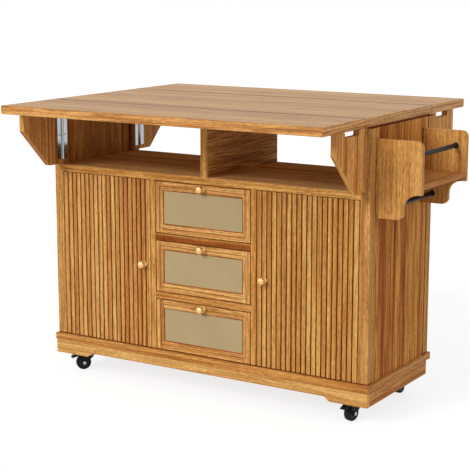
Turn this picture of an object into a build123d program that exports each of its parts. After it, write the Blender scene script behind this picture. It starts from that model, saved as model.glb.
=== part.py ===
from build123d import *
import os

# Kitchen cart with two drop leaves, in millimetres.
# The floor is Z = 0 under the middle of the cabinet, the front is -Y and the rack is on the +X side.

# Worktop and its two leaves
HEIGHT = 930.0
TOP_T = 27.0
TOP_W = 1140.0
FIXED_TOP_D = 460.0
LEAF_D = 258.0
SEAM = 2.0
EASE = 1.5  # eased edges of the worktop and the loose boards

# Cabinet carcass
BODY_W = 1166.0
BODY_D = 430.0
POST_W = 33.0
POST_D = 30.0
PANEL_T = 16.0
PANEL_REVEAL = 2.0  # the side panels lie this far inside the posts' outer faces
COMPARTMENT_H = 190.0
SHELF_T = 22.0
DIVIDER_T = 26.0
DIVIDER_X = 8.0
INNER_T = 18.0
DRAWER_OPENING_W = 358.0
DRAWER_RAIL_T = 21.0
DRAWER_RAIL_D = 40.0
BACK_T = 10.0
BACK_REVEAL = 4.0
CUPBOARD_SHELF_T = 15.0
CUPBOARD_SHELF_SETBACK = 50.0

# Plinth
PLINTH_H = 135.0
BASE_T = 23.0
BASE_OVER_SIDE = 7.5
BASE_OVER_FRONT = 10.5
SKIRT_BOTTOM = 67.0
SKIRT_T = 18.0
SKIRT_REVEAL = 3.0
SKIRT_BACK_INSET = 25.0
FOOT_L = 122.0
FOOT_STEP_L = 30.0
FOOT_RISE = 14.0

# Swing-out brackets under the leaves
BRACKET_T = 19.0
BRACKET_L = 186.0
BRACKET_GAP = 3.5
BRACKET_TOP_GAP = 0.5
BRACKET_BOTTOM_GAP = 4.0
BRACKET_FLAT = 64.0
BRACKET_RISE = 122.0
NOTCH_IN = 50.0
NOTCH_OUT = 137.0
NOTCH_DEPTH = 16.0
NOTCH_ROUND = 5.0
BRACKET_ROUND = 6.0

# Butt hinges
KNUCKLE_R = 4.0
PIN_R = 2.0
PIN_FIT = 0.05
LEAF_PLATE_T = 2.0
KNUCKLE_GAP = 0.4
LEAF_HINGE_KNUCKLES = 3
LEAF_HINGE_L = 40.0
LEAF_HINGE_W = 28.0
LEAF_HINGE_OFFSET = 58.0  # from a bracket's pin to the near end of the leaf hinge
BRACKET_HINGE_KNUCKLES = 5
BRACKET_HINGE_L = 160.0
BRACKET_HINGE_W = 25.0
BRACKET_HINGE_DROP = 11.0

# Fluted doors
DOOR_T = 18.0
DOOR_GAP = 3.0
DOOR_END_GAP = 2.0
SLATS = 20
FLUTE_W = 4.0
FLUTE_DEPTH = 5.0
SLAT_EASE = 0.8
PIVOT_INSET = 28.0
PIVOT_R = 3.0
PIVOT_L = 12.0
PIVOT_END_GAP = 1.0
PIVOT_FLANGE_R = 8.0
PIVOT_FLANGE_T = 1.6
DOOR_KNOB_INSET = 25.0

# Drawers
DRAWER_GAP = 2.0
DRAWER_FRONT_T = 18.0
FRONT_EASE = 1.0
FRAME_W = 15.0  # flat part of a drawer front's stiles and rails
QUIRK_W = 2.0
QUIRK_DEPTH = 2.0
MOULDING_W = 14.0
MOULDING_FALL = 2.5
PANEL_RECESS = 4.0
RABBET = 6.0
BOX_H = 120.0
BOX_D = 355.0
BOX_WALL = 15.0
BOX_FRONT_T = 12.0
BOX_FLOOR_T = 6.0
BOX_FLOOR_RAISE = 8.0
BOX_LIFT = 14.0
BOX_SIDE_GAP = 4.0
RUNNER_H = 16.0
RUNNER_BITE = 8.7
RUNNER_FIT = 0.3
RUNNER_END_GAP = 1.0
DRAWER_KNOB_DROP = 13.0

# Knobs
KNOB_R = 13.5
KNOB_L = 25.0
KNOB_FOOT_R = 8.0
KNOB_NECK_R = 5.5
KNOB_NECK_Z = 7.5
KNOB_CROWN = 8.5  # from the widest ring to the tip

# Rack on the right side
RACK_FRONT_Y = -184.0
RACK_L = 338.0
RACK_REACH = 147.0
RACK_END_T = 15.0
RACK_TOP = 868.0
RACK_BOTTOM = 637.0
RACK_LOW_REACH = 90.0
RACK_CURVE_TOP = 714.0
RACK_CURVE_BOTTOM = 668.0
RACK_ROUND = 20.0
RACK_SHELF_Z = 727.0
RACK_SHELF_T = 15.0
BAR_R = 7.0
BAR_COLLAR_R = 9.0
BAR_COLLAR_T = 4.0
RAIL_REACH = 112.0
RAIL_Z = 822.0
TOWEL_REACH = 39.0
TOWEL_Z = 668.0

# Casters
TRAIL = 20.0
WHEEL_R = 25.0
WHEEL_W = 22.0
TREAD_R = 5.0
RIM_W = 6.0
HUB_R = 11.0
DISH_DEPTH = 2.5
DISH_SLOPE = 2.0
AXLE_R = 3.0
AXLE_HEAD_R = 6.0
AXLE_HEAD_T = 3.0
FORK_T = 3.0
FORK_SIDE_GAP = 1.0
FORK_CROWN_T = 4.0
FORK_HEAD_R = 17.0
FORK_BOSS_R = 8.0
CHEEK_FRONT_Y = 12.5
CHEEK_FRONT_H = 12.0
CHEEK_REAR_H = 11.0
CHEEK_ROUND = 3.0
CROWN_OVER_WHEEL = 4.0
CASTER_PLATE = 62.0
CASTER_PLATE_T = 2.5
CASTER_H = 68.0
SWIVEL_GAP = 0.3
KING_PIN_R = 5.0
KING_PIN_L = 5.0
BLOCK = 117.0
# How far each caster has swivelled, in degrees: at 0 its wheel trails towards the front
CASTER_TURN = {"front_left": -40.0, "front_right": -12.0, "back_left": 180.0, "back_right": 180.0}
PEDAL_PIVOT_Y = 33.0
PEDAL_PIVOT_Z = 52.0
PEDAL_W = 20.0
PEDAL_TIP_Y = 62.0
PEDAL_T = 4.0
PEDAL_BOSS_R = 4.0
PEDAL_SHOULDER = 12.0
PEDAL_NECK = 8.0
PEDAL_DIP = 5.0
PEDAL_ROUND = 1.5
PIN_EDGE = 1.0  # head and edge left around the pedal's cross pin

# Planes that several pieces share
top_under = HEIGHT - TOP_T
shelf_top = top_under - COMPARTMENT_H
shelf_under = shelf_top - SHELF_T
base_under = PLINTH_H - BASE_T
x_out = BODY_W / 2
x_post = x_out - POST_W
y_out = BODY_D / 2
y_post = y_out - POST_D
panel_out = x_out - PANEL_REVEAL
panel_in = panel_out - PANEL_T
back_out = y_out - BACK_REVEAL
back_in = back_out - BACK_T
inner_face = DRAWER_OPENING_W / 2
inner_back = inner_face + INNER_T
base_x = x_out + BASE_OVER_SIDE
base_y = y_out + BASE_OVER_FRONT
skirt_x = base_x - SKIRT_REVEAL
skirt_y = base_y - SKIRT_REVEAL
skirt_back_y = base_y - SKIRT_BACK_INSET
skirt_in_x = skirt_x - SKIRT_T
skirt_in_y = skirt_y - SKIRT_T
caster_x = skirt_in_x - BLOCK / 2
caster_y = skirt_in_y - BLOCK / 2
seam_y = FIXED_TOP_D / 2 + SEAM / 2
bracket_axis_x = x_post - KNUCKLE_R
bracket_axis_y = y_out + BRACKET_GAP / 2
SIDES = {"left": -1, "right": 1}
ENDS = {"front": -1, "back": 1}

os.makedirs("parts", exist_ok=True)


def save(name, *solids):
    export_step(solids[0] if len(solids) == 1 else Compound(children=list(solids)), f"parts/{name}.step")


def board(x, y, z, ease=0.0):
    """A board between three pairs of faces, given in either order, with eased edges."""
    size = [abs(b - a) for a, b in (x, y, z)]
    solid = Pos(*[(a + b) / 2 for a, b in (x, y, z)]) * Box(*size)
    return chamfer(solid.edges(), ease) if ease else solid


def outline(points):
    """A closed flat face from (u, v, corner radius) points."""
    face = make_face(Polyline(*[(u, v) for u, v, radius in points], close=True))
    for u, v, radius in points:
        if radius:
            face = fillet(face.vertices().sort_by_distance((u, v, 0))[0], radius)
    return face


def rod(start, end, radius):
    """A round bar between two points."""
    path = Vector(end) - Vector(start)
    return extrude(Plane(start, z_dir=path) * Circle(radius), path.length)


def plinth_outline(half_width, foot):
    """Skirt board seen from the front: level feet, then an S-shaped step up to the raised middle."""
    low = SKIRT_BOTTOM
    high = SKIRT_BOTTOM + FOOT_RISE
    edges = [Line((-half_width, base_under), (half_width, base_under))]
    for s in SIDES.values():
        foot_end = (s * (half_width - foot), low)
        middle = (s * (half_width - foot - FOOT_STEP_L), high)
        edges.append(Line((s * half_width, base_under), (s * half_width, low)))
        edges.append(Line((s * half_width, low), foot_end))
        edges.append(Spline(foot_end, middle, tangents=[(-s, 0), (-s, 0)]))
    raised = half_width - foot - FOOT_STEP_L
    edges.append(Line((-raised, high), (raised, high)))
    return make_face(edges)


def upright(face, y, thickness):
    """Stand an outline drawn in X and Z at a front face, and give it thickness towards the back."""
    return extrude(Plane((0, y, 0), x_dir=(1, 0, 0), z_dir=(0, -1, 0)) * face, -thickness)


def hinge_plane(origin, towards_fixed, towards_wood):
    """Frame of a butt hinge: X to the fixed plate, Y to the wood behind the plates, Z along the pin."""
    x = Vector(towards_fixed)
    return Plane(origin, x_dir=x, z_dir=x.cross(Vector(towards_wood)))


def hinge_half(length, width, knuckles, first, side):
    """One plate of a butt hinge with every second knuckle, on side +1 (fixed) or -1 (moving)."""
    pitch = length / knuckles
    flat = (KNUCKLE_R - LEAF_PLATE_T, KNUCKLE_R)
    clear = KNUCKLE_R + KNUCKLE_GAP
    half = board((side * clear, side * width), flat, (-length / 2, length / 2))
    for k in range(first, knuckles, 2):
        low = -length / 2 + k * pitch + KNUCKLE_GAP / 2
        high = low + pitch - KNUCKLE_GAP
        half += rod((0, 0, low), (0, 0, high), KNUCKLE_R)
        half += board((0, side * clear), flat, (low, high))
    return half - rod((0, 0, -length), (0, 0, length), PIN_R + PIN_FIT)


def knob():
    """Turned knob on the Z axis, its foot at Z = 0: flared foot, neck, and a full round head."""
    head_z = KNOB_L - KNOB_CROWN
    left = Line((0, 0), (KNOB_FOOT_R, 0))
    foot = Spline((KNOB_FOOT_R, 0), (KNOB_NECK_R, KNOB_NECK_Z), tangents=[(-0.2, 1), (0.1, 1)])
    under = Spline((KNOB_NECK_R, KNOB_NECK_Z), (KNOB_R, head_z), tangents=[(0.6, 1), (0.1, 1)])
    crown = Spline((KNOB_R, head_z), (0, KNOB_L), tangents=[(-0.1, 1), (-1, 0)])
    profile = make_face([left, foot, under, crown, Line((0, KNOB_L), (0, 0))])
    return revolve(Plane.XZ * profile, Axis.Z)


def front_knob(x, z, y=-y_out):
    return Plane((x, y, z), x_dir=(1, 0, 0), z_dir=(0, -1, 0)) * knob()


def bar(x, z, y0, y1):
    """Round rail along Y with a collar against each end panel."""
    solid = rod((x, y0, z), (x, y1, z), BAR_R)
    for y, step in ((y0, BAR_COLLAR_T), (y1, -BAR_COLLAR_T)):
        solid += rod((x, y, z), (x, y + step, z), BAR_COLLAR_R)
    return solid


# Plinth: base plate on a skirt with bracket feet, and blocks in its corners for the casters
def plinth():
    save("base_plate", board((-base_x, base_x), (-base_y, base_y), (base_under, PLINTH_H), EASE))
    save("plinth_front", upright(plinth_outline(skirt_x, FOOT_L), -skirt_y, SKIRT_T))
    back = plinth_outline(skirt_in_x, FOOT_L - SKIRT_T)
    save("plinth_back", upright(back, skirt_back_y - SKIRT_T, SKIRT_T))
    height = (SKIRT_BOTTOM, base_under)
    save("plinth_ends", *[board((s * skirt_x, s * skirt_in_x), (-skirt_in_y, skirt_back_y), height)
                          for s in SIDES.values()])
    block_z = (CASTER_H, base_under)
    rear_in = skirt_back_y - SKIRT_T
    blocks = []
    for s in SIDES.values():
        x = (s * skirt_in_x, s * (skirt_in_x - BLOCK))
        blocks.append(board(x, (-skirt_in_y, BLOCK - skirt_in_y), block_z))
        blocks.append(board(x, (rear_in - BLOCK, rear_in), block_z))
    save("corner_blocks", *blocks)


# Carcass: posts, side panels, shelves, dividers, drawer rails, back and the fixed worktop
def carcass():
    corners = [(s, e) for s in SIDES.values() for e in ENDS.values()]
    posts = [board((s * x_out, s * x_post), (e * y_out, e * y_post), (PLINTH_H, top_under))
             for s, e in corners]
    save("corner_posts", *posts)
    save("side_panels", *[board((s * panel_out, s * panel_in), (-y_post, y_post), (PLINTH_H, top_under))
                          for s in SIDES.values()])
    shelf = board((-panel_in, panel_in), (-y_out, y_out), (shelf_under, shelf_top))
    for post in posts:
        shelf -= post
    save("compartment_shelf", shelf)
    middle = (DIVIDER_X - DIVIDER_T / 2, DIVIDER_X + DIVIDER_T / 2)
    save("compartment_divider", board(middle, (-y_out, y_out), (shelf_top, top_under)))
    low_z = (PLINTH_H, shelf_under)
    save("inner_dividers", *[board((s * inner_face, s * inner_back), (-y_out, back_in), low_z)
                             for s in SIDES.values()])
    save("back_panel", board((-x_post, x_post), (back_in, back_out), low_z))
    mid_z = (PLINTH_H + shelf_under) / 2
    shelf_y = (CUPBOARD_SHELF_SETBACK - y_out, y_post)
    shelf_z = (mid_z - CUPBOARD_SHELF_T / 2, mid_z + CUPBOARD_SHELF_T / 2)
    save("cupboard_shelves", *[board((s * inner_back, s * panel_in), shelf_y, shelf_z)
                               for s in SIDES.values()])
    rails = []
    for row in (1, 2):
        under = drawer_z(row)[1]
        rails.append(board((-inner_face, inner_face), (-y_out, DRAWER_RAIL_D - y_out),
                           (under, under + DRAWER_RAIL_T)))
    save("drawer_rails", *rails)
    half = FIXED_TOP_D / 2
    save("fixed_top", board((-TOP_W / 2, TOP_W / 2), (-half, half), (top_under, HEIGHT), EASE))


def drawer_z(row):
    """Lower and upper edge of a drawer opening, rows counted from the top."""
    height = (shelf_under - PLINTH_H - 2 * DRAWER_RAIL_T) / 3
    high = shelf_under - row * (height + DRAWER_RAIL_T)
    return high - height, high


# Rack: two shaped end panels, a shelf between them, a guard rail and a towel bar
def rack():
    edge = panel_out + RACK_REACH
    low = panel_out + RACK_LOW_REACH
    shape = make_face([
        Polyline((panel_out, RACK_BOTTOM), (panel_out, RACK_TOP), (edge, RACK_TOP), (edge, RACK_CURVE_TOP)),
        Spline((edge, RACK_CURVE_TOP), (low, RACK_CURVE_BOTTOM), tangents=[(-1, 0), (0, -1)]),
        Polyline((low, RACK_CURVE_BOTTOM), (low, RACK_BOTTOM), (panel_out, RACK_BOTTOM)),
    ])
    for corner in ((edge, RACK_TOP), (low, RACK_BOTTOM)):
        shape = fillet(shape.vertices().sort_by_distance((*corner, 0))[0], RACK_ROUND)
    back_y = RACK_FRONT_Y + RACK_L - RACK_END_T
    save("rack_ends", *[upright(shape, y, RACK_END_T) for y in (RACK_FRONT_Y, back_y)])
    inside = (RACK_FRONT_Y + RACK_END_T, back_y)
    save("rack_shelf", board((panel_out, edge), inside, (RACK_SHELF_Z, RACK_SHELF_Z + RACK_SHELF_T), EASE))
    save("rack_rail", bar(panel_out + RAIL_REACH, RAIL_Z, *inside))
    save("towel_bar", bar(panel_out + TOWEL_REACH, TOWEL_Z, *inside))


def bracket_outline():
    """Support bracket seen from its side: U outwards from the hinge edge, V is height."""
    start = BRACKET_GAP / 2
    end = start + BRACKET_L
    low = shelf_top + BRACKET_BOTTOM_GAP
    high = top_under - BRACKET_TOP_GAP
    notch = high - NOTCH_DEPTH
    return outline([
        (start, low, 0), (start + BRACKET_FLAT, low, BRACKET_ROUND),
        (end, low + BRACKET_RISE, BRACKET_ROUND), (end, high, EASE),
        (start + NOTCH_OUT, high, NOTCH_ROUND), (start + NOTCH_OUT, notch, NOTCH_ROUND),
        (start + NOTCH_IN, notch, NOTCH_ROUND), (start + NOTCH_IN, high, NOTCH_ROUND), (start, high, 0),
    ])


# Leaves, brackets and the hinges that carry them
def leaves():
    fixed = []
    pins = []
    hinge_z = top_under - BRACKET_HINGE_DROP - BRACKET_HINGE_L / 2
    for end, e in ENDS.items():
        inner = FIXED_TOP_D / 2 + SEAM
        save(f"{end}_leaf", board((-TOP_W / 2, TOP_W / 2), (e * inner, e * (inner + LEAF_D)),
                                  (top_under, HEIGHT), EASE))
        moving = []
        for s in SIDES.values():
            x = s * (bracket_axis_x - LEAF_HINGE_OFFSET - LEAF_HINGE_L / 2)
            place = hinge_plane((x, e * seam_y, top_under - KNUCKLE_R), (0, -e, 0), (0, 0, 1))
            fixed.append(place * hinge_half(LEAF_HINGE_L, LEAF_HINGE_W, LEAF_HINGE_KNUCKLES, 0, 1))
            moving.append(place * hinge_half(LEAF_HINGE_L, LEAF_HINGE_W, LEAF_HINGE_KNUCKLES, 1, -1))
            pins.append(place * rod((0, 0, -LEAF_HINGE_L / 2), (0, 0, LEAF_HINGE_L / 2), PIN_R))
        save(f"{end}_leaf_hinge_plates", *moving)
        for side, s in SIDES.items():
            place = hinge_plane((s * bracket_axis_x, e * bracket_axis_y, hinge_z), (0, -e, 0), (s, 0, 0))
            plates = [hinge_half(BRACKET_HINGE_L, BRACKET_HINGE_W, BRACKET_HINGE_KNUCKLES, first, plate_side)
                      for first, plate_side in ((0, 1), (1, -1))]
            fixed.append(place * plates[0])
            pins.append(place * rod((0, 0, -BRACKET_HINGE_L / 2), (0, 0, BRACKET_HINGE_L / 2), PIN_R))
            save(f"{end}_{side}_bracket_hinge", place * plates[1])
            middle_x = s * (x_post + BRACKET_T / 2)
            side_view = Plane((middle_x, e * bracket_axis_y, 0), x_dir=(0, e, 0), z_dir=(e, 0, 0))
            save(f"{end}_{side}_bracket", extrude(side_view * bracket_outline(), BRACKET_T / 2, both=True))
    save("hinge_plates", *fixed)
    return pins


def fluted_outline(width):
    """Door seen from above, front at Y = 0: slats with eased edges, parted by square flutes."""
    pitch = width / SLATS
    points = [(0, DOOR_T)]
    for k in range(SLATS):
        left = k * pitch + (FLUTE_W / 2 if k else 0)
        right = (k + 1) * pitch - (FLUTE_W / 2 if k < SLATS - 1 else 0)
        if k:
            points.append((left, FLUTE_DEPTH))
        points += [(left, SLAT_EASE), (left + SLAT_EASE, 0), (right - SLAT_EASE, 0), (right, SLAT_EASE)]
        if k < SLATS - 1:
            points.append((right, FLUTE_DEPTH))
    points.append((width, DOOR_T))
    return make_face(Polyline(*points, close=True))


# Doors turn on a pivot above and below, near the outer edge, in the solid wood behind the flutes
def doors():
    pivots = []
    opening = x_post - inner_back
    width = opening - 2 * DOOR_GAP
    low = PLINTH_H + DOOR_END_GAP
    high = shelf_under - DOOR_END_GAP
    pivot_y = (FLUTE_DEPTH + DOOR_T) / 2 - y_out
    for side, s in SIDES.items():
        left = min(s * (inner_back + DOOR_GAP), s * (x_post - DOOR_GAP))
        door = extrude(Pos(left, -y_out, low) * fluted_outline(width), high - low)
        pivot_x = s * (x_post - DOOR_GAP - PIVOT_INSET)
        for face, step in ((PLINTH_H, 1), (shelf_under, -1)):
            seat = (pivot_x, pivot_y, face)
            tip = (pivot_x, pivot_y, face + step * PIVOT_L)
            flange = (pivot_x, pivot_y, face + step * PIVOT_FLANGE_T)
            pivots.append(rod(seat, tip, PIVOT_R) + rod(seat, flange, PIVOT_FLANGE_R))
            door -= rod(seat, (pivot_x, pivot_y, face + step * (PIVOT_L + PIVOT_END_GAP)), PIVOT_R + PIN_FIT)
        save(f"{side}_door", door)
        save(f"{side}_door_knob", front_knob(s * (inner_back + DOOR_GAP + DOOR_KNOB_INSET), (low + high) / 2))
    return pivots


def frame_front(half_w, low, high):
    """Drawer front: flat frame, quirk, a moulding that slopes in to a window, and a rebate for its panel."""
    front = -y_out
    border = FRAME_W + QUIRK_W + MOULDING_W
    wide = half_w - border
    sill = low + border
    head = high - border

    def window(grow, start, end):
        """The window, grown on every side, between two depths behind the front face."""
        return board((-wide - grow, wide + grow), (front + start, front + end), (sill - grow, head + grow))

    solid = board((-half_w, half_w), (front, front + DRAWER_FRONT_T), (low, high), FRONT_EASE)
    solid -= window(MOULDING_W + QUIRK_W, 0, QUIRK_DEPTH) - window(MOULDING_W, 0, QUIRK_DEPTH)
    mouths = []
    for depth, grow in ((0, MOULDING_W), (MOULDING_FALL, 0)):
        view = Plane((0, front + depth, (low + high) / 2), x_dir=(1, 0, 0), z_dir=(0, -1, 0))
        mouths.append(view * Rectangle(2 * (wide + grow), head - sill + 2 * grow))
    solid -= loft(mouths)
    solid -= window(0, MOULDING_FALL, PANEL_RECESS)
    panel = window(RABBET, PANEL_RECESS, DRAWER_FRONT_T)
    return solid - panel, panel


# Drawers: framed cane front, box with grooved sides that hang on runners, and a knob
def drawers():
    runners = []
    half_w = inner_face - DRAWER_GAP
    box_x = inner_face - BOX_SIDE_GAP
    box_in = box_x - BOX_WALL
    front_in = DRAWER_FRONT_T - y_out
    box_y = (front_in, front_in + BOX_D)
    groove_y = front_in + BOX_WALL
    for row, name in enumerate(("top", "middle", "bottom")):
        opening = drawer_z(row)
        low = opening[0] + DRAWER_GAP
        high = opening[1] - DRAWER_GAP
        frame, panel = frame_front(half_w, low, high)
        save(f"{name}_drawer_front", frame)
        save(f"{name}_drawer_cane", panel)
        save(f"{name}_drawer_knob", front_knob(0, high - DRAWER_KNOB_DROP))
        box_z = (opening[0] + BOX_LIFT, opening[0] + BOX_LIFT + BOX_H)
        floor = box_z[0] + BOX_FLOOR_RAISE
        middle = sum(box_z) / 2
        groove_z = (middle - RUNNER_H / 2 - RUNNER_FIT, middle + RUNNER_H / 2 + RUNNER_FIT)
        walls = []
        for s in SIDES.values():
            side = board((s * box_x, s * box_in), box_y, box_z)
            groove_x = (s * box_x, s * (box_x - RUNNER_BITE - RUNNER_FIT))
            walls.append(side - board(groove_x, (groove_y, box_y[1]), groove_z))
            runners.append(board((s * inner_face, s * (box_x - RUNNER_BITE)),
                                 (groove_y + RUNNER_END_GAP, back_in),
                                 (middle - RUNNER_H / 2, middle + RUNNER_H / 2)))
        walls.append(board((-box_in, box_in), (front_in, front_in + BOX_FRONT_T), box_z))
        walls.append(board((-box_in, box_in), (box_y[1] - BOX_WALL, box_y[1]), box_z))
        walls.append(board((-box_in, box_in), (front_in + BOX_FRONT_T, box_y[1] - BOX_WALL),
                           (floor, floor + BOX_FLOOR_T)))
        save(f"{name}_drawer_box", *walls)
    save("drawer_runners", *runners)


def wheel():
    """Wheel on the X axis: rounded tread, dished faces and a hub flush with the tread's sides."""
    half = WHEEL_W / 2
    bore = AXLE_R + PIN_FIT
    dish = half - DISH_DEPTH
    rim = WHEEL_R - RIM_W
    profile = outline([
        (-half, bore, 0), (half, bore, 0), (half, HUB_R - DISH_SLOPE, 0), (dish, HUB_R, 0),
        (dish, rim - DISH_SLOPE, 0), (half, rim, 0), (half, WHEEL_R, TREAD_R),
        (-half, WHEEL_R, TREAD_R), (-half, rim, 0), (-dish, rim - DISH_SLOPE, 0),
        (-dish, HUB_R, 0), (-half, HUB_R - DISH_SLOPE, 0),
    ])
    return revolve(profile, Axis.X)


def fork(braked):
    """Swivel fork on the Z axis, wheel trailing to -Y: head, crown, two cheeks, and the axle apart."""
    crown_under = 2 * WHEEL_R + CROWN_OVER_WHEEL
    crown_top = crown_under + FORK_CROWN_T
    head_top = CASTER_H - CASTER_PLATE_T - SWIVEL_GAP
    inside = WHEEL_W / 2 + FORK_SIDE_GAP
    outside = inside + FORK_T
    rear = PEDAL_PIVOT_Y + PEDAL_BOSS_R + PIN_EDGE if braked else TRAIL
    solid = rod((0, 0, crown_under), (0, 0, head_top), FORK_HEAD_R)
    solid += board((-outside, outside), (-TRAIL, 0), (crown_under, crown_top))
    cheek = outline([(CHEEK_FRONT_Y, crown_top, 0), (-rear, crown_top, CHEEK_ROUND),
                     (-rear, crown_top - CHEEK_REAR_H, CHEEK_ROUND),
                     (-TRAIL - FORK_BOSS_R, WHEEL_R, 0), (FORK_BOSS_R - TRAIL, WHEEL_R, 0),
                     (CHEEK_FRONT_Y, crown_top - CHEEK_FRONT_H, CHEEK_ROUND)])
    cheek += Pos(-TRAIL, WHEEL_R) * Circle(FORK_BOSS_R)
    pieces = []
    for s in SIDES.values():
        solid += extrude(Plane((s * inside, 0, 0), x_dir=(0, 1, 0), z_dir=(1, 0, 0)) * cheek, s * FORK_T)
    solid -= rod((0, 0, 0), (0, 0, CASTER_H), KING_PIN_R + PIN_FIT)
    rods = [((-TRAIL, WHEEL_R), AXLE_R, AXLE_HEAD_R, AXLE_HEAD_T)]
    if braked:
        rods.append(((-PEDAL_PIVOT_Y, PEDAL_PIVOT_Z), PIN_R, PIN_R + PIN_EDGE, PIN_EDGE))
    for (y, z), radius, head_r, head_t in rods:
        solid -= rod((-outside, y, z), (outside, y, z), radius)
        pin = rod((-outside, y, z), (outside, y, z), radius)
        for s in SIDES.values():
            pin += rod((s * outside, y, z), (s * (outside + head_t), y, z), head_r)
        pieces.append(pin)
    return [solid, *pieces]


def pedal():
    """Brake pedal: a pad that reaches out past the wheel from a boss on its cross pin."""
    y = -PEDAL_PIVOT_Y
    z = PEDAL_PIVOT_Z
    tip_z = z - PEDAL_DIP
    side = outline([(y, z + PEDAL_BOSS_R, 0), (y - PEDAL_SHOULDER, z + PEDAL_BOSS_R, PEDAL_ROUND),
                    (-PEDAL_TIP_Y, tip_z, PEDAL_ROUND), (-PEDAL_TIP_Y, tip_z - PEDAL_T, PEDAL_ROUND),
                    (y - PEDAL_NECK, z - PEDAL_BOSS_R, PEDAL_ROUND), (y, z - PEDAL_BOSS_R, 0)])
    side += Pos(y, z) * Circle(PEDAL_BOSS_R)
    solid = extrude(Plane.YZ * side, PEDAL_W / 2, both=True)
    return solid - rod((-PEDAL_W, y, z), (PEDAL_W, y, z), PIN_R + PIN_FIT)


# Casters: a plate under each corner block, a fork that swivels on its king pin, a wheel, a brake in front
def casters():
    plates = []
    for end, e in ENDS.items():
        for side, s in SIDES.items():
            place = Pos(s * caster_x, e * caster_y, 0) * Rot(0, 0, CASTER_TURN[f"{end}_{side}"])
            plate_z = (CASTER_H - CASTER_PLATE_T, CASTER_H)
            half = CASTER_PLATE / 2
            plate = board((-half, half), (-half, half), plate_z)
            plate += rod((0, 0, plate_z[1]), (0, 0, plate_z[0] - KING_PIN_L), KING_PIN_R)
            plates.append(Pos(s * caster_x, e * caster_y, 0) * plate)
            save(f"{end}_{side}_caster_fork", *[place * piece for piece in fork(end == "front")])
            save(f"{end}_{side}_wheel", place * Pos(0, -TRAIL, WHEEL_R) * wheel())
            if end == "front":
                save(f"{end}_{side}_brake_pedal", place * pedal())
    save("caster_plates", *plates)


plinth()
carcass()
rack()
save("hinge_pins", *leaves(), *doors())
drawers()
casters()
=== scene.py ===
import bmesh
import bpy
import math
import numpy as np
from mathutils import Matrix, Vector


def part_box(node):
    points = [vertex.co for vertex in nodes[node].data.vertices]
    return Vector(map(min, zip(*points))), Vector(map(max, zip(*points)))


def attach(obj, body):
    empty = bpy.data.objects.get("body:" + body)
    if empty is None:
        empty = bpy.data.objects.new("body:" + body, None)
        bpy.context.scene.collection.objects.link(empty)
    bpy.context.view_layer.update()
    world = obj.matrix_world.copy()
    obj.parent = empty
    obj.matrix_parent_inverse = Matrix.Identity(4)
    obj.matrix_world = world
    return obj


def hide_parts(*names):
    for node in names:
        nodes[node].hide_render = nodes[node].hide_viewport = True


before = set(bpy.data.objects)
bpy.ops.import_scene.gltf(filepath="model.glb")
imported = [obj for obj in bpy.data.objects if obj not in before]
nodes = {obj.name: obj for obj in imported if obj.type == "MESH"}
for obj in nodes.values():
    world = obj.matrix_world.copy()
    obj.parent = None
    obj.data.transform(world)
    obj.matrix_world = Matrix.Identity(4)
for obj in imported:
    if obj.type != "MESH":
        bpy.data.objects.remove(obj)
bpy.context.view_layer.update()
scene = bpy.context.scene
rows = ("top", "middle", "bottom")
ends, sides = {"front": -1, "back": 1}, {"left": -1, "right": 1}       # and the way each lies, along y and x
corners = [f"{end}_{side}" for end in ends for side in sides]
print("frame loaded:", len(nodes), "nodes")


# sRGB hex to linear: c / 12.92 up to 0.04045, and ((c + 0.055) / 1.055) ^ 2.4 above it
def hexColour(text):
    value = np.array([int(text[i:i + 2], 16) for i in (1, 3, 5)]) / 255
    linear = np.where(value <= 0.04045, value / 12.92, ((value + 0.055) / 1.055) ** 2.4)
    return (*linear.tolist(), 1.0)


# adds a node with its settings; an input, by name or number, takes a value or another node's output
def addNode(tree, kind, inputs=None, **settings):
    node = tree.nodes.new(kind)
    for key, value in settings.items():
        setattr(node, key, value)
    for key, value in (inputs or {}).items():
        if isinstance(value, bpy.types.NodeSocket):
            tree.links.new(value, node.inputs[key])
        else:
            node.inputs[key].default_value = value
    return node


def newMaterial(name):
    material = bpy.data.materials.new(name)
    material.use_nodes = True
    return material, material.node_tree, material.node_tree.nodes["Principled BSDF"]


# gives CAD nodes their finish, whatever slots they came with
def dress(material, *names):
    for name in names:
        mesh = nodes[name].data
        if not mesh.materials:
            mesh.materials.append(material)
        for slot in nodes[name].material_slots:
            slot.material = material


# Oak veneer under satin lacquer: warm gold with redder streaks, growth rings drawn out along the grain, fine fibres,
# short dark pores and a low sheen. Widths and lengths are in metres, and a share is how strongly a layer shows.
oak = {
    "pale": "#d49d56", "mid": "#b2762f", "dark": "#82450e", "pore": "#643408", "streak": "#ce9c62",
    "ringWide": 0.038, "ringLong": 0.75, "ringShare": 0.62, "rings": 9.0,       # rings per swing of the field
    "fibreWide": 0.0052, "fibreLong": 0.30, "fibreShare": 0.52,
    "poreWide": 0.0017, "poreLong": 0.022, "poreShare": 0.42,                   # real pores are finer: drawn to show
    "fleckWide": 0.0022, "fleckLong": 0.016, "fleckShare": 0.42,                # fibre ends and rays, coarser too
    "streakWide": 0.024, "streakLong": 1.3, "streakShare": 0.50,
    "rough": 0.46, "smoother": 0.07, "rougher": 0.09, "shine": 0.08, "ior": 1.5,
    "bump": 0.00022, "bumpStrength": 0.5, "poreDepth": 0.7,
    "endFacing": 0.3, "edgeFacing": 0.6,        # how squarely a face looks along an axis before it counts
    "jump": (0.9, 0.9, 3.0), "keepTone": 0.3,   # how far apart boards are cut, and the share of them that stay pale
    "jointCore": 0.3, "jointShare": 0.75,       # the fully dark part of a joint's half width, and how dark it is
}
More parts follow.
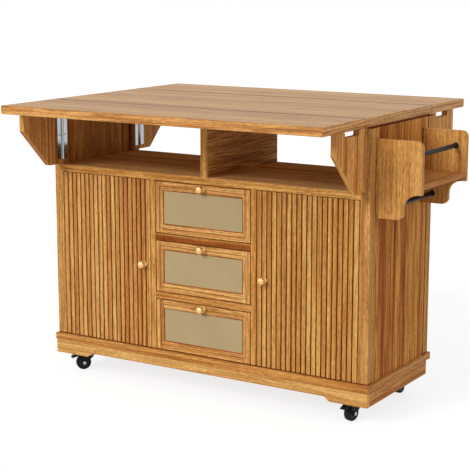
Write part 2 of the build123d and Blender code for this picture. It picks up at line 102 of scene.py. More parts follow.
# noise of each layer, as (detail, roughness), and the levels between which the layer comes in
layerNoise = {"ring": (2.5, 0.45), "fibre": (3.0, 0.6), "pore": (1.0, 0.5), "fleck": (3.0, 0.6), "streak": (2.0, 0.5)}
layerLevel = {"ring": (-0.7, 1.0), "fibre": (0.48, 0.72), "pore": (0.58, 0.74), "streak": (0.42, 0.68),
              "fleck": (0.25, 0.75), "rough": (0.3, 0.7)}
turnGrain = {"x": (0, -math.pi / 2, 0), "y": (math.pi / 2, 0, 0), "z": (0, 0, 0),
             "frontSlant": (-math.pi / 4, 0, 0), "backSlant": (math.pi / 4, 0, 0)}      # the brackets' sloping edges
axisNumber = {"x": 0, "y": 1, "z": 2}


# Grain runs along one axis, and along another on the faces that the first one would cut across.
# stile: instead of that, the grain turns on the upright members of a frame, where |x| is past this.
# strip = (axis, start, pitch, spread): boards side by side, each with its own tone and its own stretch of grain.
# joint = (half width, hex): a thin dark joint at each side of a strip.
# darker bands, some of them painted shade: a list of (axis, from, to, fade, hex), each darker between two places on an
# axis.
# edge = (axis, pale, mid): faces that don't look along this axis are banding in one length, with colours of their own.
def oakMaterial(name, grain, across, strip=None, joint=None, stainsAndShade=(), stile=None, edge=None, **change):
    look = {**oak, **change}
    material, tree, shader = newMaterial(name)
    coordinate = addNode(tree, "ShaderNodeTexCoord").outputs
    xyz = addNode(tree, "ShaderNodeSeparateXYZ", {0: coordinate["Object"]}).outputs
    normal = addNode(tree, "ShaderNodeSeparateXYZ", {0: coordinate["Normal"]}).outputs
    along, other = [addNode(tree, "ShaderNodeMapping", {0: coordinate["Object"], 2: turnGrain[way]}).outputs[0]
                    for way in (grain, across)]
    measure, least = (xyz[0], stile) if stile else (normal[axisNumber[grain]], look["endFacing"])
    measure = addNode(tree, "ShaderNodeMath", {0: measure}, operation="ABSOLUTE").outputs[0]
    turned = addNode(tree, "ShaderNodeMath", {0: measure, 1: least}, operation="GREATER_THAN").outputs[0]
    grainPlace = addNode(tree, "ShaderNodeMix", {0: turned, 4: along, 5: other}, data_type="VECTOR").outputs[1]
    pale, mid, face = hexColour(look["pale"]), hexColour(look["mid"]), 1.0
    if edge:
        axis, *banding = edge
        facing = addNode(tree, "ShaderNodeMath", {0: normal[axisNumber[axis]]}, operation="ABSOLUTE").outputs[0]
        face = addNode(tree, "ShaderNodeMath", {0: facing, 1: look["edgeFacing"]}, operation="GREATER_THAN").outputs[0]
        pale, mid = [addNode(tree, "ShaderNodeMix", {0: face, 6: hexColour(band), 7: plain},
                             data_type="RGBA").outputs[2] for band, plain in zip(banding, (pale, mid))]
    if strip:
        axis, start, pitch, spread = strip
        shifted = addNode(tree, "ShaderNodeMath", {0: xyz[axis], 1: start}, operation="SUBTRACT").outputs[0]
        count = addNode(tree, "ShaderNodeMath", {0: shifted, 1: pitch}, operation="DIVIDE").outputs[0]
        number = addNode(tree, "ShaderNodeMath", {0: count}, operation="FLOOR").outputs[0]
        number = addNode(tree, "ShaderNodeMath", {0: number, 1: face}, operation="MULTIPLY").outputs[0]
        chance = addNode(tree, "ShaderNodeTexWhiteNoise", {"W": number}, noise_dimensions="1D").outputs
        jump = addNode(tree, "ShaderNodeVectorMath", {0: chance[1], 1: look["jump"]}, operation="MULTIPLY").outputs[0]
        grainPlace = addNode(tree, "ShaderNodeVectorMath", {0: grainPlace, 1: jump}, operation="ADD").outputs[0]

    # layers: noises drawn out along the grain; the rings are the sine of a slow one, whose level lines make arches
    field, mask = {}, {}
    for layer, (detail, roughness) in layerNoise.items():
        wide, long = 1 / look[f"{layer}Wide"], 1 / look[f"{layer}Long"]
        place = addNode(tree, "ShaderNodeVectorMath", {0: grainPlace, 1: (wide, wide, long)},
                        operation="MULTIPLY").outputs[0]
        noise = {"Vector": place, "Scale": 1.0, "Detail": detail, "Roughness": roughness}
        field[layer] = addNode(tree, "ShaderNodeTexNoise", noise).outputs[0]
    turns = look["rings"] * 2 * math.pi
    phase = addNode(tree, "ShaderNodeMath", {0: field["ring"], 1: turns}, operation="MULTIPLY").outputs[0]
    field["ring"] = addNode(tree, "ShaderNodeMath", {0: phase}, operation="SINE").outputs[0]
    for layer in ("ring", "fibre", "pore", "streak"):
        low, high = layerLevel[layer]
        mask[layer] = addNode(tree, "ShaderNodeMapRange", {0: field[layer], 1: low, 2: high},
                              interpolation_type="SMOOTHSTEP").outputs[0]
    colour = pale
    for layer, toward, blend in (("ring", mid, "MIX"), ("fibre", hexColour(look["dark"]), "MIX"),
                                 ("pore", hexColour(look["pore"]), "MIX"),
                                 ("streak", hexColour(look["streak"]), "MULTIPLY")):
        share = addNode(tree, "ShaderNodeMath", {0: mask[layer], 1: look[f"{layer}Share"]},
                        operation="MULTIPLY").outputs[0]
        colour = addNode(tree, "ShaderNodeMix", {0: share, 6: colour, 7: toward}, data_type="RGBA",
                         blend_type=blend).outputs[2]
    low, high = layerLevel["fleck"]         # as much paler as darker
    fleck = addNode(tree, "ShaderNodeMapRange", {0: field["fleck"], 1: low, 2: high, 3: 1 - look["fleckShare"],
                                                 4: 1 + look["fleckShare"]}).outputs[0]
    colour = addNode(tree, "ShaderNodeMix", {0: 1.0, 6: colour, 7: fleck}, data_type="RGBA",
                     blend_type="MULTIPLY").outputs[2]
    if strip:       # each board's own tone: some stay pale, the others go towards the red of the streaks
        tone = addNode(tree, "ShaderNodeMapRange", {0: chance[0], 1: look["keepTone"], 2: 1.0, 4: spread}).outputs[0]
        tone = addNode(tree, "ShaderNodeMix", {0: tone, 6: (1, 1, 1, 1), 7: hexColour(look["streak"])},
                       data_type="RGBA").outputs[2]
        colour = addNode(tree, "ShaderNodeMix", {0: 1.0, 6: colour, 7: tone}, data_type="RGBA",
                         blend_type="MULTIPLY").outputs[2]
    if joint:
        inside = addNode(tree, "ShaderNodeMath", {0: count}, operation="FRACT").outputs[0]
        inside = addNode(tree, "ShaderNodeMath", {0: inside, 1: 0.5}, operation="SUBTRACT").outputs[0]
        inside = addNode(tree, "ShaderNodeMath", {0: inside}, operation="ABSOLUTE").outputs[0]
        reach = joint[0] / pitch
        dark = addNode(tree, "ShaderNodeMapRange", {0: inside, 1: 0.5 - reach, 2: 0.5 - reach * look["jointCore"],
                                                    4: look["jointShare"]}).outputs[0]
        dark = addNode(tree, "ShaderNodeMath", {0: dark, 1: face}, operation="MULTIPLY").outputs[0]
        colour = addNode(tree, "ShaderNodeMix", {0: dark, 6: colour, 7: hexColour(joint[1])},
                         data_type="RGBA").outputs[2]
    # each band multiplies in a darker colour: most are painted shade lines, the rest dark joints and tone
    for axis, low, high, fade, darkening in stainsAndShade:
        rise = addNode(tree, "ShaderNodeMapRange", {0: xyz[axis], 1: low, 2: low + fade}).outputs[0]
        fall = addNode(tree, "ShaderNodeMapRange", {0: xyz[axis], 1: high - fade, 2: high, 3: 1.0, 4: 0.0}).outputs[0]
        dark = addNode(tree, "ShaderNodeMath", {0: rise, 1: fall}, operation="MULTIPLY").outputs[0]
        dark = addNode(tree, "ShaderNodeMath", {0: dark, 1: face}, operation="MULTIPLY").outputs[0]
        colour = addNode(tree, "ShaderNodeMix", {0: dark, 6: colour, 7: hexColour(darkening)}, data_type="RGBA",
                         blend_type="MULTIPLY").outputs[2]
    tree.links.new(colour, shader.inputs["Base Color"])
    low, high = layerLevel["rough"]
    smooth, coarse = look["rough"] - look["smoother"], look["rough"] + look["rougher"]
    rough = addNode(tree, "ShaderNodeMapRange", {0: field["fibre"], 1: low, 2: high, 3: smooth, 4: coarse}).outputs[0]
    tree.links.new(rough, shader.inputs["Roughness"])
    relief = addNode(tree, "ShaderNodeMath", {0: mask["pore"], 1: -look["poreDepth"], 2: field["fibre"]},
                     operation="MULTIPLY_ADD").outputs[0]
    bump = addNode(tree, "ShaderNodeBump", {"Strength": look["bumpStrength"], "Distance": look["bump"],
                                            "Height": relief}).outputs[0]
    tree.links.new(bump, shader.inputs["Normal"])
    shader.inputs["IOR"].default_value = look["ior"]
    shader.inputs["Specular IOR Level"].default_value = look["shine"]
    return material


# Painted shadow lines: a darker colour where a board meets the base board or the worktop, or borders a gap, drawn wide
# to show
shadowLine = {"foot": 0.0035, "head": 0.0030, "border": 0.0018, "past": 0.01, "soft": 0.0005, "darkening": "#8a5a38"}


# a painted shadow line from a board's low end (way 1) or its high end (way -1), and a little past that end
def paintedShadeLine(axis, level, way, width):
    low, high = sorted((level - way * shadowLine["past"], level + way * width))
    return (axis, low, high, shadowLine["soft"], shadowLine["darkening"])


# painted shade along the foot of boards on the base board, and under the worktop
footLine = paintedShadeLine(2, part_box("base_plate")[1][2], 1, shadowLine["foot"])
headLine = paintedShadeLine(2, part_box("side_panels")[1][2], -1, shadowLine["head"])

# Carcass
dress(oakMaterial("oakVeneerUpright", "z", "x", stainsAndShade=[footLine]), "inner_dividers", "back_panel")
dress(oakMaterial("oakVeneerLengthways", "x", "y"), "cupboard_shelves")
post = {"pale": "#cb9759", "mid": "#a66f33", "streakShare": 0.22, "shine": 0.02}
dress(oakMaterial("oakPost", "z", "x", stainsAndShade=[footLine, headLine], **post), "corner_posts")

# Side panels: long red streaks under a flatter lacquer, and a dark joint where the panel meets each post
sidePanel = {"jointAt": 0.185, "jointWide": 0.005, "jointSoft": 0.001, "jointStain": "#7a4e30",
             "look": {"pale": "#da994f", "mid": "#b4722f", "dark": "#7a3e16", "streak": "#b98052", "ringShare": 0.9,
                      "fibreShare": 0.75, "streakShare": 0.8, "streakWide": 0.034, "shine": 0.02}}
joints = []
for way in (-1, 1):
    low, high = sorted((way * sidePanel["jointAt"], way * (sidePanel["jointAt"] - sidePanel["jointWide"])))
    joints.append((1, low, high, sidePanel["jointSoft"], sidePanel["jointStain"]))
dress(oakMaterial("oakSidePanel", "z", "x", stainsAndShade=joints + [headLine], **sidePanel["look"]), "side_panels")

# Open compartment: a divider with wide dark arches, and a dull shelf whose face is painted paler, as painted light in
# the compartment's shade; both have golden edge bands
divider = {"pale": "#dea55e", "mid": "#a5692f", "edge": ("x", "#e6af68", "#cc944e"), "ringWide": 0.024,
           "ringLong": 0.60, "rings": 8.0, "ringShare": 0.85, "shine": 0.02}
dress(oakMaterial("oakDivider", "y", "z", **divider), "compartment_divider")
# the shelf's pale colours are painted light, standing in for light that doesn't reach it in the compartment
shelfPaintedLight = {"pale": "#f5c98e", "mid": "#e2ac69", "edge": ("z", "#e0aa60", "#be8440"), "fibreShare": 0.62,
         "streakShare": 0.6, "shine": 0.0}
dress(oakMaterial("oakShelfPaintedLight", "x", "y", **shelfPaintedLight), "compartment_shelf")

# Plinth: a redder, busier board on top of a paler skirt
baseBoard = {"pale": "#d29a53", "mid": "#a96f32", "fibreShare": 0.7, "streakShare": 0.7, "streakWide": 0.012}
dress(oakMaterial("oakBaseBoard", "x", "y", **baseBoard), "base_plate")
skirt = {"pale": "#d9a964", "mid": "#b98542", "streakShare": 0.45}
dress(oakMaterial("oakSkirt", "x", "y", **skirt), "plinth_front", "plinth_back")
skirtEnd = {"pale": "#d4985a", "mid": "#ad6f33", "streakShare": 0.7, "streakWide": 0.014, "shine": 0.03}
dress(oakMaterial("oakSkirtEnd", "y", "x", **skirtEnd), "plinth_ends")

# Doors: twenty slats to a door, each cut from its own board, with painted shade in the flutes between them.
# firstBoard is where in the run of boards a door is cut, and spread how far its boards differ in tone.
door = {"slats": 20, "fluteFront": -0.2140, "fluteFloor": -0.2085, "soft": 0.001, "darkening": "#c8904a",
        "firstBoard": {"left": 60, "right": 100}, "spread": {"left": 0.55, "right": 0.40},
        "look": {"left": {"pale": "#dfae68", "mid": "#c68c42", "streak": "#cc945c"},
                 "right": {"pale": "#d4a45d", "mid": "#bc843c", "streak": "#cc945c"}}}
fluteShade = (1, door["fluteFront"], door["fluteFloor"], door["soft"], door["darkening"])
for side in sides:
    low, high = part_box(f"{side}_door")
    pitch = (high[0] - low[0]) / door["slats"]
    boards = (0, low[0] - door["firstBoard"][side] * pitch, pitch, door["spread"][side])
    dress(oakMaterial(f"oakSlats_{side}", "z", "x", strip=boards, stainsAndShade=[fluteShade, footLine], **door["look"][side]),
          f"{side}_door")

# Drawers: painted shade in the quirk and along the foot of the moulding, and a painted shadow line round the front's
# border
drawer = {"stile": 0.148, "shadeFrom": -0.2132, "shadeTo": -0.2090, "soft": 0.0003, "darkening": "#a8744c",
          "look": {"pale": "#e0ad69", "mid": "#b07530", "edge": ("y", "#d9a35c", "#ad7331")}}
for row in rows:
    low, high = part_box(f"{row}_drawer_front")
    stainsAndShade = [(1, drawer["shadeFrom"], drawer["shadeTo"], drawer["soft"], drawer["darkening"])]
    for axis in (0, 2):
        stainsAndShade += [paintedShadeLine(axis, low[axis], 1, shadowLine["border"]),
                   paintedShadeLine(axis, high[axis], -1, shadowLine["border"])]
    dress(oakMaterial(f"oakDrawerFrame_{row}", "x", "z", stile=drawer["stile"], stainsAndShade=stainsAndShade, **drawer["look"]),
          f"{row}_drawer_front")
# Drawer rails: the upper one darker and redder, deepest in its middle
rail = {"below": 0.035, "above": 0.004, "fade": 0.014, "darkening": "#b98e6b"}
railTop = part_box("drawer_rails")[1][2]
upperRailBand = (2, railTop - rail["below"], railTop + rail["above"], rail["fade"], rail["darkening"])
dress(oakMaterial("oakDrawerRails", "x", "z", stainsAndShade=[upperRailBand]), "drawer_rails")

# Brackets, with banding along their sloping edges
bracket = {"pale": "#e6ab65", "mid": "#c1803a", "streak": "#bd8a60", "edge": ("x", "#dea760", "#ca8f4a"),
           "streakShare": 0.75, "streakWide": 0.013, "shine": 0.05}
for end in ends:
    dress(oakMaterial(f"oakBracket_{end}", "z", f"{end}Slant", **bracket),
          *[f"{end}_{side}_bracket" for side in sides])

# Rack: quiet end boards with a painted shadow line where they meet the cabinet, and a shelf painted darker and redder
# as painted shade
rackEnd = {"pale": "#d09b57", "mid": "#b67b37", "fibreShare": 0.44, "streakShare": 0.38, "streakWide": 0.014}
rackLine = paintedShadeLine(0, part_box("rack_ends")[0][0], 1, shadowLine["foot"])
dress(oakMaterial("oakRackEnd", "z", "x", stainsAndShade=[rackLine], **rackEnd), "rack_ends")
# the rack shelf's darker, redder colours are painted shade
rackShelfPaintedShade = {"pale": "#bf8246", "mid": "#9a5f2a", "shine": 0.06}
dress(oakMaterial("oakVeneerDeepways", "y", "x", **rackShelfPaintedShade), "rack_shelf")

# Worktop: planks side by side with dark joints, painted shade at the two seams by the leaves, drawn wide to show,
# golden edge bands
worktop = {"plank": 0.0815, "start": -0.5116, "spread": 0.45, "joint": (0.0020, "#6f4828"),
           "seamAt": 0.231, "seamHalf": 0.0060, "seamSoft": 0.0015, "seamShade": "#573a22",
           "look": {"pale": "#c99b58", "mid": "#aa7c3e", "edge": ("z", "#e3ac66", "#a5672a"), "rough": 0.40,
                    "shine": 0.15, "streakShare": 0.3}}
planks = (1, worktop["start"], worktop["plank"], worktop["spread"])
seams = [(1, at - worktop["seamHalf"], at + worktop["seamHalf"], worktop["seamSoft"], worktop["seamShade"])
         for at in (-worktop["seamAt"], worktop["seamAt"])]
dress(oakMaterial("oakWorktop", "x", "y", strip=planks, joint=worktop["joint"], stainsAndShade=seams, **worktop["look"]),
      "fixed_top", "front_leaf", "back_leaf")

# Poplar board, sanded and left bare: pale, matt and nearly without figure
poplar = {"pale": "#dcc39a", "mid": "#cdb084", "dark": "#a98a5e", "pore": "#94764c", "rough": 0.62, "shine": 0.2,
          "streakShare": 0.2, "fleckShare": 0.2}
dress(oakMaterial("poplarBoard", "y", "x", **poplar), "corner_blocks", "drawer_runners",
      *[f"{row}_drawer_box" for row in rows])
print("oak dressed")

finish = {"detail": 3.0, "drift": 40, "driftDetail": 2.0, "low": 0.3, "high": 0.7, "uneven": 0.2, "strength": 0.35}


# Plain finishes with a fine noise in roughness and bump, whose grain is grit, in metres. A noise that is coarser by
# drift wanders between two near colours, and uneven is how far the roughness strays from its mean.
def finishMaterial(name, colour, second, grit, rough, bump, metallic=0.0, shine=None):
    material, tree, shader = newMaterial(name)
    place = addNode(tree, "ShaderNodeTexCoord").outputs["Object"]
    grain = addNode(tree, "ShaderNodeTexNoise", {"Vector": place, "Scale": 1 / grit,
                                                 "Detail": finish["detail"]}).outputs[0]
    cloud = addNode(tree, "ShaderNodeTexNoise", {"Vector": place, "Scale": 1 / (grit * finish["drift"]),
                                                 "Detail": finish["driftDetail"]}).outputs[0]
    mixed = addNode(tree, "ShaderNodeMix", {0: cloud, 6: hexColour(colour), 7: hexColour(second)},
                    data_type="RGBA").outputs[2]
    tree.links.new(mixed, shader.inputs["Base Color"])
    uneven = addNode(tree, "ShaderNodeMapRange", {0: grain, 1: finish["low"], 2: finish["high"],
                                                  3: rough * (1 - finish["uneven"]),
                                                  4: rough * (1 + finish["uneven"])}).outputs[0]
    tree.links.new(uneven, shader.inputs["Roughness"])
    relief = addNode(tree, "ShaderNodeBump", {"Strength": finish["strength"], "Distance": bump,
                                              "Height": grain}).outputs[0]
    tree.links.new(relief, shader.inputs["Normal"])
    shader.inputs["Metallic"].default_value = metallic
    if shine is not None:
        shader.inputs["Specular IOR Level"].default_value = shine
    return material


# satin brass, brushed and lacquered: a soft warm glow with no sharp reflections
brass = finishMaterial("satinBrass", "#f2cf95", "#e2b671", 0.0012, 0.54, 0.00003, metallic=1.0)
dress(brass, *[f"{side}_door_knob" for side in sides], *[f"{row}_drawer_knob" for row in rows])
# plated steel, smooth from the press: a cool mirror, a little blurred
plated = finishMaterial("platedSteel", "#b9bcbe", "#a6aaac", 0.0015, 0.10, 0.00001, metallic=1.0)
dress(plated, "hinge_plates", "hinge_pins", "front_leaf_hinge_plates", "back_leaf_hinge_plates",
      *[f"{corner}_bracket_hinge" for corner in corners])
# powder-coated steel: near black, with a fine orange-peel texture that breaks up the highlight
coated = finishMaterial("powderCoatedSteel", "#111112", "#19191a", 0.0007, 0.5, 0.00006, shine=0.15)
dress(coated, "rack_rail", "towel_bar", "caster_plates", *[f"{corner}_caster_fork" for corner in corners])
# moulded nylon: a softer black with a faint sheen
nylon = finishMaterial("mouldedNylon", "#151618", "#1c1d1f", 0.0006, 0.5, 0.00004, shine=0.2)
dress(nylon, "front_left_brake_pedal", "front_right_brake_pedal")

# Cane, split and woven: dry straw colour, in upright stripes drawn wider than a strand to show
stripe = {"wide": 0.0062, "share": 0.45, "tone": "#cdc4b4"}
caneMaterial = finishMaterial("wovenCane", "#bfa97d", "#ae986c", 0.004, 0.6, 0.00005)
tree, shader = caneMaterial.node_tree, caneMaterial.node_tree.nodes["Principled BSDF"]
place = addNode(tree, "ShaderNodeSeparateXYZ", {0: addNode(tree, "ShaderNodeTexCoord").outputs["Object"]}).outputs[0]
phase = addNode(tree, "ShaderNodeMath", {0: place, 1: 2 * math.pi / stripe["wide"]}, operation="MULTIPLY").outputs[0]
wave = addNode(tree, "ShaderNodeMath", {0: phase}, operation="SINE").outputs[0]
share = addNode(tree, "ShaderNodeMapRange", {0: wave, 1: -1.0, 2: 1.0, 4: stripe["share"]}).outputs[0]
source = shader.inputs["Base Color"].links[0].from_socket
mixed = addNode(tree, "ShaderNodeMix", {0: share, 6: source, 7: hexColour(stripe["tone"])}, data_type="RGBA",
                blend_type="MULTIPLY").outputs[2]
tree.links.new(mixed, shader.inputs["Base Color"])
dress(caneMaterial, *[f"{row}_drawer_cane" for row in rows])

# Wheel rubber, moulded: a dull black tread, and a smoother grey hub inside it
wheel = {"hubRadius": 0.0212, "hubSoft": 0.0006, "hubColour": "#222224", "hubRough": 0.36,
         "tread": {"colour": "#0f0f0f", "second": "#171716", "grit": 0.0009, "rough": 0.7, "bump": 0.00008,
                   "shine": 0.2}}
hubEnds = (wheel["hubRadius"], wheel["hubRadius"] + wheel["hubSoft"])
for corner in corners:
    low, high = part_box(f"{corner}_wheel")
    middle = (np.array(low) + np.array(high)) / 2
    rubber = finishMaterial(f"wheelRubber_{corner}", **wheel["tread"])
    tree, shader = rubber.node_tree, rubber.node_tree.nodes["Principled BSDF"]
    place = addNode(tree, "ShaderNodeTexCoord").outputs["Object"]
    away = addNode(tree, "ShaderNodeVectorMath", {0: place, 1: tuple(middle)}, operation="DISTANCE").outputs["Value"]
    outer = addNode(tree, "ShaderNodeMapRange", {0: away, 1: hubEnds[0], 2: hubEnds[1]}).outputs[0]
    source = shader.inputs["Base Color"].links[0].from_socket
    mixed = addNode(tree, "ShaderNodeMix", {0: outer, 6: hexColour(wheel["hubColour"]), 7: source},
                    data_type="RGBA").outputs[2]
    tree.links.new(mixed, shader.inputs["Base Color"])
    source = shader.inputs["Roughness"].links[0].from_socket
    mixed = addNode(tree, "ShaderNodeMix", {0: outer, 2: wheel["hubRough"], 3: source}).outputs[0]
    tree.links.new(mixed, shader.inputs["Roughness"])
    dress(rubber, f"{corner}_wheel")
print("metal, plastic and cane dressed")

weldReach = 1e-6        # metres within which the points of a piece are joined


# One piece from grid surfaces. A sheet is (points, closedColumns), its points shaped (..., down, over, 3):
# the leading numbers count copies, and down x over is the way that a face looks.
def surfacePiece(name, sheets, material, body):
    places, quads, count = [], [], 0
    for points, closedColumns in sheets:
        down, over = points.shape[-3:-1]
        grid = np.arange(down * over).reshape(down, over)
        grid = np.hstack([grid, grid[:, :1]]) if closedColumns else grid
        cells = np.stack([grid[:-1, :-1], grid[1:, :-1], grid[1:, 1:], grid[:-1, 1:]], -1).reshape(-1, 4)
        flat = points.reshape(-1, 3)
        starts = np.arange(count, count + len(flat), down * over)
        quads.append((starts[:, None, None] + cells).reshape(-1, 4))
        places.append(flat)
        count += len(flat)
    places, quads = np.concatenate(places), np.concatenate(quads)
    mesh = bpy.data.meshes.new(name)
    mesh.vertices.add(len(places))
    mesh.vertices.foreach_set("co", places.ravel())
    mesh.loops.add(quads.size)
    mesh.loops.foreach_set("vertex_index", quads.ravel())
    mesh.polygons.add(len(quads))
    mesh.polygons.foreach_set("loop_start", np.arange(0, quads.size, 4))
    mesh.update(calc_edges=True)
    joined = bmesh.new()
    joined.from_mesh(mesh)
    bmesh.ops.remove_doubles(joined, verts=joined.verts, dist=weldReach)
    joined.to_mesh(mesh)
    joined.free()
    mesh.polygons.foreach_set("use_smooth", np.ones(len(mesh.polygons), dtype=bool))
    mesh.materials.append(material)
    piece = bpy.data.objects.new(name, mesh)
    scene.collection.objects.link(piece)
    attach(piece, body)
    return piece


# Cane weave: flat strands that pass over and under each other, in front of each drawer's panel.
# A strand's middle swings by a cosine of its length, half a wave to a crossing, and its section is a low arch.
# Real cane cloth is finer: this pitch is the finest that stays light.
cane = {"pitch": 0.0026, "cover": 0.84, "swing": 0.00026, "arch": 0.00022, "lift": 0.0006, "steps": 3, "rebate": 0.006}
for row in rows:
    low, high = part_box(f"{row}_drawer_cane")
    front, rebate = low[1], cane["rebate"]
    start = np.array([low[0] + rebate, low[2] + rebate])
    span = np.array([high[0] - low[0], high[2] - low[2]]) - 2 * rebate
    counts = np.round(span / cane["pitch"]).astype(int)
    pitch = span / counts
    sheets = []
    for way in (0, 1):      # 0: strands side by side along x that run up z; 1: the other way
        number = np.arange(counts[way])[:, None, None]
        run = np.linspace(0, counts[1 - way], counts[1 - way] * cane["steps"] + 1)[None, :, None]
        section = np.array([-0.5, 0.0, 0.5])[None, None, :]
        swing = (-1) ** way * np.cos(math.pi * (run - 0.5 + number))
        across = start[way] + pitch[way] * (number + 0.5 + cane["cover"] * section) + 0 * run
        along = start[1 - way] + pitch[1 - way] * run + 0 * number + 0 * section
        depth = front - cane["lift"] - cane["swing"] * swing - cane["arch"] * (1 - (2 * section) ** 2)
        x, z = (across, along) if way == 0 else (along, across)
        points = np.stack([x, depth, z], -1)
        sheets.append((points[:, :, ::-1] if way == 0 else points, False))
    surfacePiece(f"{row}_cane_weave", sheets, caneMaterial, f"{row}_drawer")
print("cane woven")

# Knobs: a turned profile carried round its axis. The radius falls from foot to neck by a quarter of a sine, and the
# head swells from the neck and closes to the tip by a quarter of an ellipse each. The size of a sine round the axis
# gathers the head into round lobes, which fade towards the neck and the tip.
lobed = {"foot": 0.0110, "neck": 0.0060, "neckAt": 0.30, "wideAt": 0.66, "lobes": 8, "depth": 0.27, "fade": 1.2,
         "around": 96, "steps": 10}
for owner in [f"{side}_door" for side in sides] + [f"{row}_drawer" for row in rows]:
    low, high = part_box(f"{owner}_knob")
    middle = (np.array(low) + np.array(high)) / 2
    radius, length = (high[0] - low[0]) / 2, high[1] - low[1]
    foot, neck = lobed["foot"], lobed["neck"]
    neckAt, wideAt = lobed["neckAt"] * length, lobed["wideAt"] * length
    turn = np.linspace(0, math.pi / 2, lobed["steps"])
    later = turn[1:]
    reach = np.concatenate([[0], foot - (foot - neck) * np.sin(turn), neck + (radius - neck) * np.sin(later),
                            radius * np.cos(later)])
    rise = np.concatenate([[0], neckAt * turn / turn[-1], neckAt + (wideAt - neckAt) * (1 - np.cos(later)),
                           wideAt + (length - wideAt) * np.sin(later)])
    gather = np.concatenate([[0], 0 * turn, np.sin(later), np.cos(later) ** lobed["fade"]])
    angle = np.linspace(0, 2 * math.pi, lobed["around"], endpoint=False)
    hollow = lobed["depth"] * gather[:, None] * (1 - abs(np.sin(lobed["lobes"] / 2 * angle)))
    ring = reach[:, None] * (1 - hollow)
    points = np.stack([middle[0] + ring * np.sin(angle), high[1] - rise[:, None] + 0 * angle,
                       middle[2] + ring * np.cos(angle)], -1)
    knob = surfacePiece(f"{owner}_lobed_knob", [(points, True)], brass, owner)
    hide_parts(f"{owner}_knob")
print("knobs turned")

screw = {"dome": 0.22, "recess": 0.16, "arm": 0.62, "narrow": 0.90, "centre": 0.2, "rings": 7, "around": 32}


# Screw heads: a low dome by the square of the radius, with a cross recess where the angle is near an arm.
# Heights and the recess are shares of the radius.
def screwHeads(name, places, facing, radius, body):
    facing = np.array(facing, dtype=float)
    first = np.array([0.0, 0.0, 1.0]) if abs(facing[2]) < 0.5 else np.array([1.0, 0.0, 0.0])
    second = np.cross(facing, first)
    share = np.linspace(0, 1, screw["rings"])[:, None]
    angle = np.linspace(0, 2 * math.pi, screw["around"], endpoint=False)[None, :]
    arm = np.maximum(abs(np.cos(angle)), abs(np.sin(angle))) > screw["narrow"]
    sunk = (arm | (share < screw["centre"])) & (share < screw["arm"])
    height = radius * (screw["dome"] * (1 - share ** 2) - screw["recess"] * sunk)
    head = (radius * share * np.cos(angle))[..., None] * first + (radius * share * np.sin(angle))[..., None] * second
    head = head + height[..., None] * facing
    points = np.array(places)[:, None, None, :] + head
    surfacePiece(name, [(points, True)], plated, body)


# Hinge screws: tall butt hinges between posts and brackets, and small ones under the seams of the worktop
butt = {"radius": 0.0034, "rows": (-0.058, 0.0, 0.058), "fromPin": 0.0147, "plate": 0.002, "knuckle": 0.004}
leafButt = {"radius": 0.0030, "rows": (-0.012, 0.012), "fromPin": 0.0162, "half": 0.020}
postPlaces = {side: [] for side in sides}
topPlaces = []
for end, outward in ends.items():
    for side, way in sides.items():
        low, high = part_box(f"{end}_{side}_bracket_hinge")
        face = high[0] - butt["plate"] if way > 0 else low[0] + butt["plate"]
        pin = low[1] + butt["knuckle"] if outward > 0 else high[1] - butt["knuckle"]
        levels = [(low[2] + high[2]) / 2 + rise for rise in butt["rows"]]
        places = [(face, pin + outward * butt["fromPin"], level) for level in levels]
        screwHeads(f"{end}_{side}_bracket_screws", places, (-way, 0, 0), butt["radius"], f"{end}_{side}_bracket")
        postPlaces[side] += [(face, pin - outward * butt["fromPin"], level) for level in levels]
    low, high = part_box(f"{end}_leaf_hinge_plates")
    pin = low[1] + butt["knuckle"] if outward > 0 else high[1] - butt["knuckle"]
    columns = [way * (high[0] - leafButt["half"]) + shift for way in (-1, 1) for shift in leafButt["rows"]]
    under = high[2] - butt["plate"]
    places = [(column, pin + outward * leafButt["fromPin"], under) for column in columns]
    screwHeads(f"{end}_leaf_screws", places, (0, 0, -1), leafButt["radius"], f"{end}_leaf")
    topPlaces += [(column, pin - outward * leafButt["fromPin"], under) for column in columns]
for side, way in sides.items():
    screwHeads(f"{side}_post_screws", postPlaces[side], (-way, 0, 0), butt["radius"], "cabinet")
screwHeads("worktop_hinge_screws", topPlaces, (0, 0, -1), leafButt["radius"], "cabinet")

# Bolts up through the corners of the caster plates
plate = {"half": 0.031, "bolt": 0.022, "radius": 0.0042, "thick": 0.0025}
low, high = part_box("caster_plates")
places = [(x * (high[0] - plate["half"]) + u * plate["bolt"], y * (high[1] - plate["half"]) + v * plate["bolt"],
           high[2] - plate["thick"]) for x in (-1, 1) for y in (-1, 1) for u in (-1, 1) for v in (-1, 1)]
screwHeads("caster_bolts", places, (0, 0, -1), plate["radius"], "cabinet")

# Caps on the ends of the axles: a caster's turn at rest, in degrees, gives the way its axle lies
axle = {"half": 0.018, "radius": 0.0055,
        "turn": {"front_left": -40, "front_right": -12, "back_left": 180, "back_right": 180}}
for corner, degrees in axle["turn"].items():
    low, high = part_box(f"{corner}_wheel")
    turn = math.radians(degrees)
    along = np.array([math.cos(turn), math.sin(turn), 0.0])
    middle = (np.array(low) + np.array(high)) / 2
    for way, label in ((-1, "inner"), (1, "outer")):
        screwHeads(f"{corner}_axle_{label}", [middle + way * axle["half"] * along], way * along, axle["radius"],
                   f"{corner}_caster")

# Screws round the edge of the back panel
board = {"inset": 0.012, "across": 8, "up": 4, "radius": 0.0032}
low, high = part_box("back_panel")
inset = board["inset"]
columns = np.linspace(low[0] + inset, high[0] - inset, board["across"])
levels = np.linspace(low[2] + inset, high[2] - inset, board["up"])
places = [(x, high[1], z) for x in columns for z in (levels[0], levels[-1])]
places += [(x, high[1], z) for x in (columns[0], columns[-1]) for z in levels[1:-1]]
screwHeads("back_panel_screws", places, (0, 1, 0), board["radius"], "cabinet")
print("screws driven")

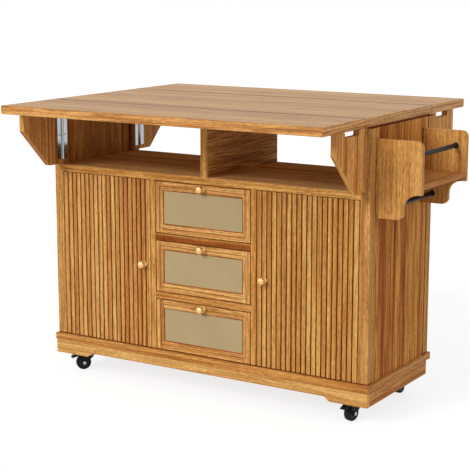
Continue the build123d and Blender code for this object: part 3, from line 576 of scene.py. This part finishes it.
# Camera at the photograph's view, fitted to the corners of the cart
view = {"place": (2.31169, -3.73745, 1.35484), "turn": (1.377622, 0.0, 0.556319), "lens": 104.973, "sensor": 36.0}
camera = bpy.data.cameras.new("camera")
camera.lens = view["lens"]
camera.sensor_width = view["sensor"]
cameraObject = bpy.data.objects.new("camera", camera)
cameraObject.location = view["place"]
cameraObject.rotation_euler = view["turn"]
scene.collection.objects.link(cameraObject)
scene.camera = cameraObject


# 1 for a ray that shows the set to the eye, from the camera, off gloss or through glass, and 0 for one that lights it
def seenRays(tree):
    path = addNode(tree, "ShaderNodeLightPath").outputs
    seen = path["Is Camera Ray"]
    for ray in ("Is Glossy Ray", "Is Transmission Ray"):
        seen = addNode(tree, "ShaderNodeMath", {0: seen, 1: path[ray]}, operation="MAXIMUM").outputs[0]
    return seen


# Pale floor, matt paint: it bounces two thirds of its light, and is lifted to white where it is seen
ground = {"half": 40.0, "colour": "#d6d5d2", "seenColour": "#8f8e8c", "lift": 0.80, "rough": 0.9}
half = ground["half"]
floorMesh = bpy.data.meshes.new("floor")
floorMesh.from_pydata([(-half, -half, 0), (half, -half, 0), (half, half, 0), (-half, half, 0)], [], [(0, 1, 2, 3)])
floor = bpy.data.objects.new("floor", floorMesh)
scene.collection.objects.link(floor)
floorMaterial, tree, shader = newMaterial("paleFloor")
shader.inputs["Roughness"].default_value = ground["rough"]
shader.inputs["Specular IOR Level"].default_value = 0.0
shader.inputs["Emission Color"].default_value = (1, 1, 1, 1)
seen = seenRays(tree)
colour = addNode(tree, "ShaderNodeMix", {0: seen, 6: hexColour(ground["colour"]), 7: hexColour(ground["seenColour"])},
                 data_type="RGBA").outputs[2]
tree.links.new(colour, shader.inputs["Base Color"])
glow = addNode(tree, "ShaderNodeMath", {0: seen, 1: ground["lift"]}, operation="MULTIPLY").outputs[0]
tree.links.new(glow, shader.inputs["Emission Strength"])
floorMesh.materials.append(floorMaterial)

# White surround: full strength where it is seen, and as light a dome that is bright above and dim at the horizon
surround = {"horizon": 0.42, "zenith": 0.62, "from": 0.05, "to": 0.75}
world = bpy.data.worlds.new("studio")
world.use_nodes = True
scene.world = world
tree = world.node_tree
sky = addNode(tree, "ShaderNodeTexCoord").outputs["Generated"]
height = addNode(tree, "ShaderNodeSeparateXYZ", {0: sky}).outputs[2]
dome = addNode(tree, "ShaderNodeMapRange", {0: height, 1: surround["from"], 2: surround["to"], 3: surround["horizon"],
                                            4: surround["zenith"]}, interpolation_type="SMOOTHSTEP").outputs[0]
strength = addNode(tree, "ShaderNodeMix", {0: seenRays(tree), 2: dome, 3: 1.0}).outputs[0]
background = tree.nodes["Background"]
background.inputs["Color"].default_value = (1, 1, 1, 1)
tree.links.new(strength, background.inputs["Strength"])

# Distant soft boxes: the way their light comes from, its spread in degrees, and its strength
lamps = {
    "key": ((-0.26, -0.80, 0.50), 24, 1.94),
    "fill": ((0.86, -0.25, 0.45), 40, 0.35),
}
for name, (way, spread, power) in lamps.items():
    light = bpy.data.lights.new(name, "SUN")
    light.angle = math.radians(spread)
    light.energy = power
    lamp = bpy.data.objects.new(name, light)
    x, y, z = np.array(way) / np.linalg.norm(way)
    lamp.rotation_euler = (math.acos(z), 0, math.atan2(y, x) + math.pi / 2)
    scene.collection.objects.link(lamp)
print("camera, floor and lights placed")

scene.view_settings.view_transform = "Standard"
